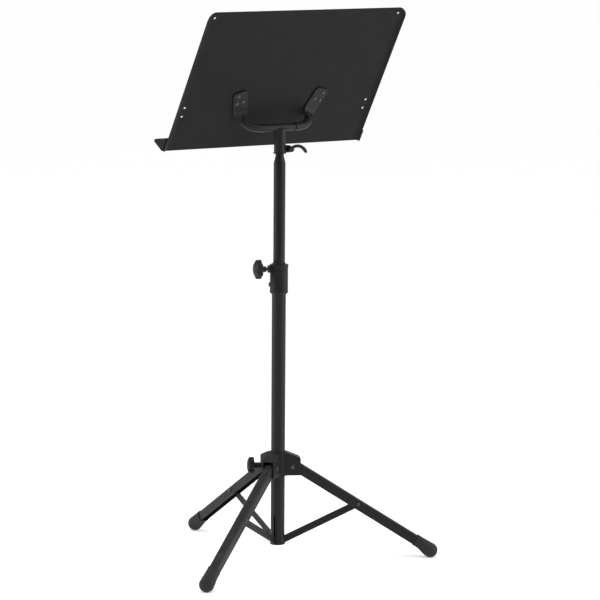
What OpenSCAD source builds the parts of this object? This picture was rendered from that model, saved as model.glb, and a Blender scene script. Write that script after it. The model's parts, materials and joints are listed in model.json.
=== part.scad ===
// Folding orchestra music stand: tripod base, telescopic column, tilting sheet-steel desk.
// Origin on the floor under the column, +Z up, the reader stands at -Y.
// Each leg set is drawn in its own radial plane and turned to its azimuth.

/* [Column] */
// Outside diameter of the fixed lower tube
lower_d = 30; // [30:0.5:31]
// Outside diameter of the sliding upper tube
upper_d = 25; // [24.5:0.5:25]
// Outside diameter of the swaged spigot on the upper tube
spigot_d = 18; // [17:0.5:18]
// Wall of both tubes
tube_wall = 1.5; // [1.2:0.1:1.5]
// Height of the lower tube's top end
lower_top = 620; // [600:5:640]
// Height of the spigot's top end
spigot_top = 918.4; // [918.4:0.1:918.6]

/* [Tripod] */
// Azimuth of the leg that points to the reader
first_leg_azimuth = 270; // [0:30:330]
// Slope of a leg below the horizontal
leg_slope = 32.4; // [32:0.1:33]
// Outside width of the leg channel
leg_w = 20.2; // [19:0.2:20.2]
// Height of the leg channel
leg_h = 21; // [20:0.5:22]
// Radius of a rubber foot ball
foot_r = 16; // [15.8:0.1:17]
// Distance of a foot ball from the column axis
foot_reach = 330.4; // [325:0.2:335]
// Width of a stay bar
stay_w = 15; // [14:0.5:15]
// Thickness of a stay bar
stay_t = 2.5; // [2:0.5:2.5]

/* [Desk] */
// Width of the desk across the ledge
desk_w = 500; // [480:5:520]
// Height of the desk along its slope
desk_h = 345; // [335:5:360]
// Depth of the ledge
ledge_depth = 44; // [38:1:50]
// Thickness of the desk's sheet steel
sheet_t = 1.2; // [1:0.1:1.5]
// Lean of the desk back from the vertical
desk_lean = 31.04; // [29:0.02:33]
// Diameter of the small holes near the desk's side edges
hole_d = 5; // [4:0.5:5]

/* [Hidden] */

$fn = 64;
steel_black = [0.16, 0.17, 0.17];
sheet_black = [0.18, 0.19, 0.19];
plastic_black = [0.11, 0.11, 0.11];
rubber_black = [0.07, 0.07, 0.07];
plated_dark = [0.25, 0.25, 0.26];

// running and seating gaps, per side
fit = 0.05;
slide_gap = 0.15;
through = 200;

// lower tube, its foot plug and the three stay pivots, given as [radius, height]
tube_bottom = 38;
plug_bottom = 33;
plug_r = lower_d / 2 + 1.5;
plug_spigot_top = 62;
stay_pivot = [12, 42.5];
stay_pin_r = 2;
stay_pin_len = 12;
slot_w = 3.4;
slot_top = 98;
slot_inner_r = 4.2;
notch_w = 13;
notch_top = 45.5;
notch_inner_r = 8;

// tripod linkage: hub pivot and mid pivot in a leg's radial plane
hub_pivot = [30, 203];
mid_pivot = [172.4, 119.7];
foot_centre = [foot_reach, foot_r - 0.4];
pin_r = 3;
stay_rise = mid_pivot - stay_pivot;
stay_len = norm(stay_rise);
stay_angle = atan2(stay_rise[1], stay_rise[0]);

// a point of the radial plane in the leg's own axes, which start at the hub pivot
function in_leg(p) = let (d = p - hub_pivot)
    [d[0] * cos(leg_slope) - d[1] * sin(leg_slope), d[0] * sin(leg_slope) + d[1] * cos(leg_slope)];
mid_in_leg = in_leg(mid_pivot);
foot_in_leg = in_leg(foot_centre);
leg_axis_z = foot_in_leg[1] + 2.2;
leg_wall = 1.5;
leg_round = 6;
leg_end_r = 9;
leg_tip = foot_in_leg[0] - 14;
boot_start = foot_in_leg[0] - 40;
boot_grow = 2;
loose_pin_hole_r = 5.1;

// hub on the lower tube, with one hooded arm for each leg
hub_r = lower_d / 2 + 2.5;
hub_bottom = 184;
hub_top = 236;
hub_bore_r = lower_d / 2 + 0.2;
hub_play = 1.3;
arm_reach = 48;
arm_gap = 22.6;
arm_w = 27.2;
arm_floor = 185;
arm_eave = 221;
arm_roof_t = 3.5;
hub_clamp_azimuth = 330;
hub_clamp_z = 205;
hub_boss_r = 8;
hub_boss_end = 27;

// height collar on top of the lower tube
collar_bottom = 575;
collar_top = 639;
collar_r = 19.2;
collar_lip_top = 643;
collar_clamp_azimuth = 342;
collar_clamp_z = 629.5;
collar_boss_r = 8;
collar_boss_end = 24;
insert_r = 4.5;
fixing_screw_azimuth = 330;
fixing_screw_z = 596;

// clamping screws and knobs, measured along the screw from the column axis
screw_r = 3;
pad_r = 3.6;

// upper tube, its glide and the bush on its spigot
upper_bottom = 340;
swage_bottom = 855;
swage_top = 869;
glide_len = 30;
bush_bottom = 876;
bush_wall = 1.2;
bush_cap_t = 1.5;

// desk socket, its clamp and the tee on top
socket_bottom = 875;
socket_top = 928;
socket_r = 12.3;
socket_wall = 1.85;
socket_lip_r = 14;
clamp_x = -20;
clamp_z = 884;
ear_t = 5;
ear_gap = 3;
ear_out = 27.5;
tilt_z = 930;
barrel_r = 8;
barrel_half = 35.5;
axle_r = 4;
axle_half = 37.5;

// desk, drawn with its fold on the X axis, its back face at Y = 0 and its slope along Z
fold_y = -67;
fold_z = 885.3;
bend_r = 2.5;
side_flange_start = 232;
side_flange_r = 31;
side_flange_from = 31;
side_flange_inset = 2;
top_corner_r = 20;
ledge_corner_r = 10;
hole_x = 229.5;
hole_rows = [331, 109, 87.3];
plate_half_w = 17;
plate_t = 3;
plate_lean = 17;
plate_start = [90, 97];
plate_len = 50;
plate_corner_r = 8;
rivets_on_plate = [[9, 22], [-6, 23], [5, 41]];
rivet_r = 2;
tilt_in_desk = [-fold_y * cos(desk_lean) - (tilt_z - fold_z) * sin(desk_lean),
                -fold_y * sin(desk_lean) + (tilt_z - fold_z) * cos(desk_lean)];

// ---------------------------------------------------------------- helpers

function leg_azimuth(i) = first_leg_azimuth + 120 * (i - 1);

module at_azimuth(a) { rotate([0, 0, a]) children(); }

// children drawn along +Z point outward from the column axis, at height z
module radial_at(azimuth, z) {
    rotate([0, 0, azimuth]) translate([0, 0, z]) rotate([0, 90, 0]) children();
}

// a cylinder across the radial plane, centred on the point p = [radius, height]
module cross_cylinder(p, r, length) {
    translate([p[0], 0, p[1]]) rotate([90, 0, 0]) cylinder(r = r, h = length, center = true);
}

// an outline drawn as [radius, height], made width thick across the radial plane
module radial_plate(width) {
    rotate([90, 0, 0]) translate([0, 0, -width / 2]) linear_extrude(width) children();
}

module pipe(r, wall, z0, z1) {
    translate([0, 0, z0]) difference() {
        cylinder(r = r, h = z1 - z0);
        translate([0, 0, -1]) cylinder(r = r - wall, h = z1 - z0 + 2);
    }
}

module in_leg_frame(i) {
    at_azimuth(leg_azimuth(i)) translate([hub_pivot[0], 0, hub_pivot[1]])
        rotate([0, leg_slope, 0]) children();
}

module in_stay_frame(i) {
    at_azimuth(leg_azimuth(i)) translate([stay_pivot[0], 0, stay_pivot[1]])
        rotate([0, -stay_angle, 0]) children();
}

module in_desk_frame() {
    translate([0, fold_y, fold_z]) rotate([-desk_lean, 0, 0]) children();
}

// a knob along +Z: a boss from 0, then a lobed head with a domed face
module lobed_knob(head_r, lobes, head_t, boss_r, boss_len, dome) {
    lobe_r = head_r * 0.27;
    difference() {
        union() {
            cylinder(r = boss_r, h = boss_len + 1);
            intersection() {
                translate([0, 0, boss_len]) linear_extrude(head_t + dome) union() {
                    circle(r = head_r - lobe_r * 0.85);
                    for (k = [0:lobes - 1]) rotate(k * 360 / lobes)
                        translate([head_r - lobe_r, 0]) circle(r = lobe_r);
                }
                translate([0, 0, boss_len]) rotate_extrude() polygon([
                    [0, 0], [head_r - 1.5, 0], [head_r, 1.5], [head_r, head_t - 3], [head_r - 2.5, head_t - 0.6],
                    [head_r * 0.55, head_t + dome * 0.7], [0, head_t + dome]]);
            }
        }
        translate([0, 0, -1]) cylinder(r = screw_r + fit, h = boss_len + head_t * 0.6 + 1);
    }
}

// a clamping screw along +Z with a rounded tip at the start
module clamping_screw(start, end) {
    translate([0, 0, start + 1]) cylinder(r = screw_r, h = end - start - 1);
    translate([0, 0, start]) cylinder(r1 = screw_r - 1, r2 = screw_r, h = 1);
}

// ---------------------------------------------------------------- column

module lower_tube() {
    color(steel_black) difference() {
        pipe(lower_d / 2, tube_wall, tube_bottom, lower_top);
        for (i = [1:3]) at_azimuth(leg_azimuth(i)) {
            translate([0, -slot_w / 2, tube_bottom - 1]) cube([lower_d, slot_w, slot_top - tube_bottom + 1]);
            translate([notch_inner_r, -notch_w / 2, tube_bottom - 1])
                cube([lower_d, notch_w, notch_top - tube_bottom + 1]);
        }
        radial_at(fixing_screw_azimuth, fixing_screw_z) cylinder(r = 2.1, h = lower_d);
    }
}

// plug in the tube's end, with a pad in each notch of the tube that holds a stay pin
module column_foot() {
    pad_w = notch_w - 0.2;
    pad_h = notch_top - 0.1 - tube_bottom;
    color(plastic_black) difference() {
        union() {
            translate([0, 0, plug_bottom]) cylinder(r1 = plug_r - 1.5, r2 = plug_r, h = 1.5);
            translate([0, 0, plug_bottom + 1.5]) cylinder(r = plug_r, h = tube_bottom - plug_bottom - 1.5);
            translate([0, 0, tube_bottom])
                cylinder(r = lower_d / 2 - tube_wall - fit, h = plug_spigot_top - tube_bottom);
            for (i = [1:3]) at_azimuth(leg_azimuth(i)) translate([0, 0, tube_bottom - 1]) intersection() {
                cylinder(r = lower_d / 2, h = pad_h + 1);
                translate([notch_inner_r + 0.1, -pad_w / 2, 0]) cube([lower_d, pad_w, pad_h + 1]);
            }
        }
        for (i = [1:3]) at_azimuth(leg_azimuth(i)) {
            translate([slot_inner_r, -1.55, stay_pivot[1] - stay_w / 2 - 0.2]) cube([lower_d, 3.1, 60]);
            cross_cylinder(stay_pivot, stay_pin_r + fit, stay_pin_len + 0.2);
        }
    }
}

module stay_pins() {
    color(plated_dark) for (i = [1:3]) at_azimuth(leg_azimuth(i))
        cross_cylinder(stay_pivot, stay_pin_r, stay_pin_len);
}

module collar() {
    color(plastic_black) difference() {
        union() {
            translate([0, 0, collar_bottom]) rotate_extrude() polygon([
                [0, 0], [collar_r - 3.6, 0], [collar_r + 0.4, 4.5], [collar_r + 0.4, 8], [collar_r, 9],
                [collar_r, 57.5], [collar_r + 0.7, 58.5], [collar_r + 0.7, collar_top - collar_bottom],
                [14.6, collar_top - collar_bottom], [13.4, collar_lip_top - collar_bottom],
                [0, collar_lip_top - collar_bottom]]);
            radial_at(collar_clamp_azimuth, collar_clamp_z) cylinder(r = collar_boss_r, h = collar_boss_end);
            radial_at(collar_clamp_azimuth, collar_clamp_z) translate([0, 0, collar_boss_end])
                cylinder(r1 = collar_boss_r, r2 = collar_boss_r - 1, h = 1);
        }
        translate([0, 0, collar_bottom - 1]) cylinder(r = lower_d / 2 + fit, h = lower_top - collar_bottom + 1);
        cylinder(r = upper_d / 2 + slide_gap, h = 700);
        radial_at(collar_clamp_azimuth, collar_clamp_z) cylinder(r = insert_r + fit, h = through);
        radial_at(fixing_screw_azimuth, fixing_screw_z) cylinder(r = 2.1, h = through);
    }
}

module collar_insert() {
    color("darkgoldenrod") radial_at(collar_clamp_azimuth, collar_clamp_z) difference() {
        translate([0, 0, 15.5]) cylinder(r = insert_r, h = collar_boss_end + 1 - 15.5);
        cylinder(r = screw_r + fit, h = 60);
    }
}

module collar_pad() {
    color(plastic_black) radial_at(collar_clamp_azimuth, collar_clamp_z)
        translate([0, 0, upper_d / 2 + 0.3]) cylinder(r = pad_r, h = 2);
}

module collar_fixing_screw() {
    color(plated_dark) radial_at(fixing_screw_azimuth, fixing_screw_z) {
        translate([0, 0, lower_d / 2 - tube_wall + 0.1]) cylinder(r = 2, h = collar_r - lower_d / 2 + tube_wall);
        translate([0, 0, collar_r]) difference() {
            union() {
                cylinder(r = 4.8, h = 1.6);
                translate([0, 0, 1.6]) cylinder(r1 = 4.8, r2 = 3.4, h = 1.4);
            }
            translate([-0.6, -3, 2]) cube([1.2, 6, 2]);
            translate([-3, -0.6, 2]) cube([6, 1.2, 2]);
        }
    }
}

module collar_screw() {
    color(plated_dark) radial_at(collar_clamp_azimuth, collar_clamp_z) clamping_screw(15, 46);
}

module collar_knob() {
    color(plastic_black) radial_at(collar_clamp_azimuth, collar_clamp_z)
        translate([0, 0, 29]) lobed_knob(20.5, 6, 13, 6.2, 10, 4);
}

module upper_tube() {
    swage_step = (upper_d - spigot_d) / 2;
    outer = upper_d / 2;
    color(steel_black) rotate_extrude() polygon([
        [outer - tube_wall, upper_bottom], [outer, upper_bottom], [outer, swage_bottom],
        [outer - swage_step, swage_top], [outer - swage_step, spigot_top - 1], [outer - swage_step - 1, spigot_top],
        [outer - swage_step - 1.8, spigot_top], [outer - swage_step - 1.8, swage_top],
        [outer - tube_wall, swage_bottom - 2]]);
}

module tube_glide() {
    color(plastic_black) difference() {
        translate([0, 0, upper_bottom - 3]) cylinder(r = lower_d / 2 - tube_wall - slide_gap, h = glide_len + 3);
        translate([0, 0, upper_bottom]) cylinder(r = upper_d / 2 + fit, h = glide_len + 1);
        translate([0, 0, upper_bottom - 4]) cylinder(r = upper_d / 2 - 3, h = 10);
    }
}

// ---------------------------------------------------------------- desk post

module desk_bush() {
    bush_in = spigot_d / 2 + 0.1;
    color(plastic_black) difference() {
        translate([0, 0, bush_bottom])
            cylinder(r = bush_in + bush_wall, h = spigot_top + bush_cap_t + 0.1 - bush_bottom);
        translate([0, 0, bush_bottom - 1]) cylinder(r = bush_in, h = spigot_top + 1.1 - bush_bottom);
    }
}

module socket_tube() {
    ear_h = 18;
    color(steel_black) difference() {
        union() {
            translate([0, 0, socket_bottom]) cylinder(r = socket_r, h = socket_top - socket_bottom);
            translate([0, 0, socket_bottom]) cylinder(r1 = socket_lip_r, r2 = socket_lip_r - 0.4, h = 2);
            radial_plate(2 * ear_t + ear_gap) union() {
                translate([clamp_x, clamp_z]) circle(r = ear_out + clamp_x);
                translate([clamp_x, clamp_z - (ear_out + clamp_x)]) square([-clamp_x, 2 * (ear_out + clamp_x)]);
            }
        }
        translate([0, 0, socket_bottom - 1]) cylinder(r = socket_r - socket_wall, h = socket_top - socket_bottom + 2);
        translate([0, 0, tilt_z]) rotate([0, 90, 0]) cylinder(r = barrel_r + 0.02, h = 80, center = true);
        translate([-40, -ear_gap / 2, socket_bottom - 1]) cube([38, ear_gap, ear_h + 8]);
        cross_cylinder([clamp_x, clamp_z], screw_r + fit, 60);
    }
}

module tee_barrel() {
    color(steel_black) translate([0, 0, tilt_z]) rotate([0, 90, 0]) difference() {
        cylinder(r = barrel_r, h = 2 * barrel_half, center = true);
        cylinder(r = axle_r + fit, h = through, center = true);
    }
}

module friction_washers() {
    washer_t = axle_half - barrel_half - 0.2;
    color(rubber_black) for (side = [-1, 1])
        translate([side * (barrel_half + axle_half) / 2, 0, tilt_z]) rotate([0, 90, 0]) difference() {
            cylinder(r = barrel_r - 0.6, h = washer_t, center = true);
            cylinder(r = axle_r + fit, h = 10, center = true);
        }
}

module clamp_bolt() {
    ears = ear_t + ear_gap / 2;
    color(plated_dark) translate([clamp_x, 0, clamp_z]) rotate([-90, 0, 0]) {
        translate([0, 0, -ears - 0.1]) cylinder(r = screw_r, h = 2 * ears + 8);
        translate([0, 0, -ears - 4.1]) cylinder(r = 5.5, h = 4, $fn = 6);
    }
}

// thumb lever: a hub on the bolt and an arm that arches outward and droops
module clamp_lever() {
    hub_y = ear_t + ear_gap / 2 + 0.3;
    color(plastic_black) difference() {
        union() {
            translate([clamp_x, hub_y, clamp_z]) rotate([-90, 0, 0]) cylinder(r = 6.5, h = 10);
            translate([0, hub_y + 1 + 4, 0]) radial_plate(8) intersection() {
                difference() {
                    translate([-37, 867]) circle(r = 26);
                    translate([-35.5, 862.5]) circle(r = 24);
                }
                translate([-64, 874]) square([64 + clamp_x + 2, 30]);
            }
        }
        translate([clamp_x, 0, clamp_z]) rotate([-90, 0, 0]) cylinder(r = screw_r + fit, h = hub_y + 8.2);
    }
}

// ---------------------------------------------------------------- desk

module tilt_axle() {
    color(plated_dark) translate([0, 0, tilt_z]) rotate([0, 90, 0])
        cylinder(r = axle_r, h = 2 * axle_half, center = true);
}

// a yoke arm is a bent tube whose outer end is pressed flat to a riveting plate
function mix(a, b, t) = a + (b - a) * t;
function bezier(p, t) = pow(1 - t, 3) * p[0] + 3 * t * pow(1 - t, 2) * p[1]
                      + 3 * t * t * (1 - t) * p[2] + t * t * t * p[3];
function bezier_run(p, t) = 3 * pow(1 - t, 2) * (p[1] - p[0]) + 6 * t * (1 - t) * (p[2] - p[1])
                          + 3 * t * t * (p[3] - p[2]);
function unit(v) = v / norm(v);
function smooth(t) = let (c = min(1, max(0, t))) c * c * (3 - 2 * c);
function power_sign(x, p) = sign(x) * pow(abs(x), p);
function plate_dir() = [sin(plate_lean), 0, cos(plate_lean)];

// one section: centre c, direction d, half width w across the desk, half thickness t, squareness s
function section(c, d, w, t, s) = let (wide = unit([-d[2], 0, d[0]]), deep = unit(cross(wide, d)))
    [for (k = [0:23]) c + w * power_sign(cos(k * 15), s) * wide + t * power_sign(sin(k * 15), s) * deep];

module yoke_arm() {
    root = [axle_half, tilt_in_desk[0], tilt_in_desk[1]];
    flat_y = plate_t / 2;
    plate_root = [plate_start[0], flat_y, plate_start[1]];
    path = [root, root + [52, 0, 0], plate_root - 22 * plate_dir() + [0, 0.2, 0], plate_root];
    bend = [for (k = [0:12]) let (t = k / 12, f = smooth((t - 0.45) / 0.55))
        section(bezier(path, t), bezier_run(path, t), mix(9, plate_half_w, f), mix(9, flat_y, f), mix(1, 0.35, f))];
    straight = [for (k = [1:7]) let (
            run = k < 3 ? plate_len * k / 3.4 : plate_len - plate_corner_r * (1 - sin((k - 3) * 22.5)),
            left = plate_len - run,
            cut = left >= plate_corner_r ? 0
                : plate_corner_r - sqrt(pow(plate_corner_r, 2) - pow(plate_corner_r - left, 2)))
        section(plate_root + run * plate_dir(), plate_dir(), plate_half_w - cut, flat_y, 0.35)];
    rings = concat(bend, straight);
    n = len(rings);
    polyhedron(points = [for (r = rings) for (p = r) p], faces = concat(
        [[for (k = [23:-1:0]) k]],
        [for (r = [0:n - 2]) for (k = [0:23])
            [r * 24 + k, r * 24 + (k + 1) % 24, (r + 1) * 24 + (k + 1) % 24, (r + 1) * 24 + k]],
        [[for (k = [0:23]) (n - 1) * 24 + k]]), convexity = 4);
}

function rivet_place(side, p) = let (across = [cos(plate_lean), -sin(plate_lean)])
    [side * (plate_start[0] + p[1] * sin(plate_lean) + p[0] * across[0]),
     plate_start[1] + p[1] * cos(plate_lean) + p[0] * across[1]];

module at_rivets(side) {
    for (p = rivets_on_plate) let (q = rivet_place(side, p))
        translate([q[0], 0, q[1]]) rotate([-90, 0, 0]) children();
}

module yoke_side(side) {
    color(steel_black) in_desk_frame() difference() {
        mirror([side < 0 ? 1 : 0, 0, 0]) yoke_arm();
        at_rivets(side) cylinder(r = rivet_r + 0.2, h = 60, center = true);
    }
}

module yoke_rivets() {
    color(plated_dark) in_desk_frame() for (side = [-1, 1]) at_rivets(side) {
        translate([0, 0, -sheet_t - 0.1]) cylinder(r = rivet_r, h = plate_t + sheet_t + 0.2);
        translate([0, 0, plate_t + 0.05]) cylinder(r1 = 4, r2 = 2.8, h = 1.8);
        translate([0, 0, -sheet_t - 1.05]) cylinder(r1 = 2.8, r2 = 4, h = 1);
    }
}

// outline of the flat sheet, drawn as [across, up the slope]
module sheet_outline() {
    half = desk_w / 2;
    narrow = half - side_flange_inset;
    translate([-half, bend_r]) square([desk_w, side_flange_from - bend_r]);
    translate([-narrow, side_flange_from - 1])
        square([2 * narrow, desk_h - side_flange_from + 1 - top_corner_r]);
    translate([-narrow + top_corner_r, desk_h - top_corner_r - 1])
        square([2 * (narrow - top_corner_r), top_corner_r + 1]);
    for (side = [-1, 1])
        translate([side * (narrow - top_corner_r), desk_h - top_corner_r]) circle(r = top_corner_r);
}

// section of the sheet seen along its slope: flat, with both side margins rolled back
module sheet_section() {
    translate([-side_flange_start, -sheet_t]) square([2 * side_flange_start, sheet_t]);
    for (side = [-1, 1]) intersection() {
        translate([side * side_flange_start, side_flange_r]) difference() {
            circle(r = side_flange_r + sheet_t, $fn = 160);
            circle(r = side_flange_r, $fn = 160);
        }
        translate([side > 0 ? side_flange_start : -desk_w / 2, -sheet_t - 1])
            square([desk_w / 2 - side_flange_start, 12]);
    }
}

module ledge_outline() {
    half = desk_w / 2;
    translate([-half, -ledge_depth + ledge_corner_r])
        square([desk_w, ledge_depth - ledge_corner_r - bend_r]);
    translate([-half + ledge_corner_r, -ledge_depth])
        square([desk_w - 2 * ledge_corner_r, ledge_corner_r + 1]);
    for (side = [-1, 1])
        translate([side * (half - ledge_corner_r), -ledge_depth + ledge_corner_r]) circle(r = ledge_corner_r);
}

module desk_sheet() {
    color(sheet_black) in_desk_frame() difference() {
        union() {
            intersection() {
                linear_extrude(desk_h + 10) sheet_section();
                rotate([90, 0, 0]) translate([0, 0, -20]) linear_extrude(40) sheet_outline();
            }
            translate([-desk_w / 2, -sheet_t, bend_r]) cube([desk_w, sheet_t, side_flange_from - bend_r]);
            translate([-desk_w / 2, -bend_r, bend_r]) rotate([0, 90, 0]) intersection() {
                difference() {
                    cylinder(r = bend_r, h = desk_w);
                    translate([0, 0, -1]) cylinder(r = bend_r - sheet_t, h = desk_w + 2);
                }
                translate([0, 0, -1]) cube([bend_r + 1, bend_r + 1, desk_w + 2]);
            }
            linear_extrude(sheet_t) ledge_outline();
        }
        for (side = [-1, 1], v = hole_rows)
            translate([side * hole_x, 0, v]) rotate([90, 0, 0]) cylinder(r = hole_d / 2, h = 20, center = true);
        at_rivets(-1) cylinder(r = rivet_r + fit, h = 20, center = true);
        at_rivets(1) cylinder(r = rivet_r + fit, h = 20, center = true);
    }
}

// ---------------------------------------------------------------- tripod

module hub() {
    color(plastic_black) difference() {
        union() {
            translate([0, 0, hub_bottom]) cylinder(r = hub_r, h = hub_top - hub_bottom);
            translate([0, 0, hub_bottom]) cylinder(r = hub_r + 3, h = 8);
            for (i = [1:3]) at_azimuth(leg_azimuth(i)) radial_plate(arm_w) polygon([
                [0, arm_floor], [arm_reach, arm_floor], [arm_reach, arm_eave], [arm_reach - 3, arm_eave + 3],
                [hub_r + 4, hub_top - 2.5], [hub_r, hub_top - 1], [0, hub_top - 1]]);
            radial_at(hub_clamp_azimuth, hub_clamp_z) cylinder(r = hub_boss_r, h = hub_boss_end);
        }
        for (i = [1:3]) at_azimuth(leg_azimuth(i)) {
            radial_plate(arm_gap) polygon([
                [hub_r, arm_floor - 5], [arm_reach + 5, arm_floor - 5], [arm_reach + 5, arm_eave - arm_roof_t],
                [arm_reach - 3, arm_eave + 3 - arm_roof_t], [hub_r, hub_top - 2 - arm_roof_t]]);
            cross_cylinder(hub_pivot, pin_r + fit, 60);
        }
        at_azimuth(leg_azimuth(3)) {
            for (s = [-1, 1]) translate([s * hub_play, 0, 0]) cylinder(r = hub_bore_r, h = 400);
            translate([-hub_play, -hub_bore_r, 0]) cube([2 * hub_play, 2 * hub_bore_r, 400]);
        }
        radial_at(hub_clamp_azimuth, hub_clamp_z) cylinder(r = insert_r + fit, h = through);
    }
}

// rivets that carry the legs in the hub's arms
module hub_rivets() {
    color(plated_dark) for (i = [1:3]) at_azimuth(leg_azimuth(i)) {
        cross_cylinder(hub_pivot, pin_r, arm_w + 1);
        for (s = [-1, 1]) translate([hub_pivot[0], s * (arm_w / 2 + 0.75), hub_pivot[1]])
            rotate([90, 0, 0]) cylinder(r1 = s > 0 ? 3.6 : 4.6, r2 = s > 0 ? 4.6 : 3.6, h = 1.4, center = true);
    }
}

module hub_insert() {
    color("darkgoldenrod") radial_at(hub_clamp_azimuth, hub_clamp_z) difference() {
        translate([0, 0, 19]) cylinder(r = insert_r, h = hub_boss_end - 19);
        cylinder(r = screw_r + fit, h = 60);
    }
}

module hub_pad() {
    color(plastic_black) radial_at(hub_clamp_azimuth, hub_clamp_z)
        translate([0, 0, lower_d / 2 + hub_play + 0.15]) cylinder(r = pad_r, h = 2);
}

module hub_screw() {
    color(plated_dark) radial_at(hub_clamp_azimuth, hub_clamp_z) clamping_screw(18.6, 57);
}

module hub_knob() {
    color(plastic_black) radial_at(hub_clamp_azimuth, hub_clamp_z)
        translate([0, 0, 32]) lobed_knob(18.5, 8, 12.5, 6.8, 19, 3);
}

// flat bar with a rounded end round each pivot
module stay(i) {
    color(steel_black) in_stay_frame(i) radial_plate(stay_t) difference() {
        union() {
            circle(r = stay_w / 2);
            translate([stay_len, 0]) circle(r = stay_w / 2);
            translate([0, -stay_w / 2]) square([stay_len, stay_w]);
        }
        circle(r = stay_pin_r + fit);
        translate([stay_len, 0]) circle(r = pin_r + fit);
    }
}

// arch outline drawn as [across, up]: half width, top, radius of both top corners, bottom
module arch(half_w, top, r, bottom) {
    translate([-half_w, bottom]) square([2 * half_w, top - r - bottom]);
    translate([-half_w + r, bottom]) square([2 * (half_w - r), top - bottom]);
    for (s = [-1, 1]) translate([s * (half_w - r), top - r]) circle(r = r);
}

// outline of the closed leg section, grown by g
module leg_block(g) {
    arch(leg_w / 2 + g, leg_h / 2 + g, leg_round + g, -leg_h / 2 - g);
}

// channel of pressed steel, open underneath, with a round lobe on both walls at the hub pivot
module leg(i) {
    wall_y = (leg_w - leg_wall) / 2;
    color(steel_black) in_leg_frame(i) difference() {
        union() {
            intersection() {
                translate([0, 0, leg_axis_z]) rotate([90, 0, 90]) linear_extrude(leg_tip) difference() {
                    arch(leg_w / 2, leg_h / 2, leg_round, -leg_h);
                    arch(leg_w / 2 - leg_wall, leg_h / 2 - leg_wall, leg_round - leg_wall, -leg_h - 1);
                }
                radial_plate(leg_w + 2) polygon([
                    [0, leg_end_r - 0.5], [6, leg_axis_z + leg_h / 2 + 1], [leg_tip + 1, leg_axis_z + leg_h / 2 + 1],
                    [leg_tip + 1, leg_axis_z - leg_h / 2], [2, leg_axis_z - leg_h / 2]]);
            }
            for (s = [-1, 1]) translate([0, s * wall_y, 0]) cross_cylinder([0, 0], leg_end_r, leg_wall);
        }
        cross_cylinder([0, 0], i == 3 ? pin_r + fit : loose_pin_hole_r, 60);
        cross_cylinder(mid_in_leg, pin_r + fit, 60);
    }
}

module leg_rivet(i) {
    reach = leg_w / 2 + 0.1;
    color(plated_dark) in_leg_frame(i) {
        cross_cylinder(mid_in_leg, pin_r, 2 * reach);
        for (s = [-1, 1]) translate([mid_in_leg[0], s * (reach + 1.7), mid_in_leg[1]])
            rotate([s > 0 ? -90 : 90, 0, 0]) cylinder(r1 = 4, r2 = 3, h = 3.4, center = true);
    }
}

// a spacer tube on each side of the stay keeps it in the middle of the channel
module stay_spacers(i) {
    inside = leg_w / 2 - leg_wall;
    length = inside - stay_t / 2 - 0.4;
    color(plastic_black) in_leg_frame(i) for (s = [-1, 1]) difference() {
        translate([0, s * (stay_t / 2 + 0.2 + length / 2), 0]) cross_cylinder(mid_in_leg, 4.8, length);
        cross_cylinder(mid_in_leg, pin_r + fit, 60);
    }
}

// rubber boot: a sleeve over the channel's end that swells to a ball, flat where it stands
module foot(i) {
    color(rubber_black) difference() {
        in_leg_frame(i) difference() {
            hull() {
                translate([boot_start, 0, leg_axis_z]) rotate([90, 0, 90]) linear_extrude(12)
                    offset(r = boot_grow, $fn = 32) leg_block(0, $fn = 32);
                translate([foot_in_leg[0], 0, foot_in_leg[1]]) sphere(r = foot_r, $fn = 48);
            }
            translate([boot_start - 1, 0, leg_axis_z]) rotate([90, 0, 90])
                linear_extrude(leg_tip + 0.3 - boot_start + 1) leg_block(0.05);
        }
        translate([-500, -500, -40]) cube([1000, 1000, 40]);
    }
}

// ---------------------------------------------------------------- nodes

lower_tube();
column_foot();
stay_pins();
collar();
collar_insert();
collar_pad();
collar_fixing_screw();
collar_screw();
collar_knob();
upper_tube();
tube_glide();
desk_bush();
socket_tube();
tee_barrel();
friction_washers();
clamp_bolt();
clamp_lever();
tilt_axle();
yoke_side(-1);  // yoke_arm_left
yoke_side(1);  // yoke_arm_right
yoke_rivets();
desk_sheet();
hub();
hub_rivets();
hub_insert();
hub_pad();
hub_screw();
hub_knob();
stay(1);  // stay_1
stay(2);  // stay_2
stay(3);  // stay_3
leg(1);  // leg_1
leg(2);  // leg_2
leg(3);  // leg_3
leg_rivet(1);  // leg_rivet_1
leg_rivet(2);  // leg_rivet_2
leg_rivet(3);  // leg_rivet_3
stay_spacers(1);  // stay_spacers_1
stay_spacers(2);  // stay_spacers_2
stay_spacers(3);  // stay_spacers_3
foot(1);  // foot_1
foot(2);  // foot_2
foot(3);  // foot_3
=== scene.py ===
"""Folding orchestra music stand: its looks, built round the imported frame. Metres, +Z up, reader at -Y."""

import json
import math

import bmesh
import bpy
from mathutils import Matrix, Vector


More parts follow.
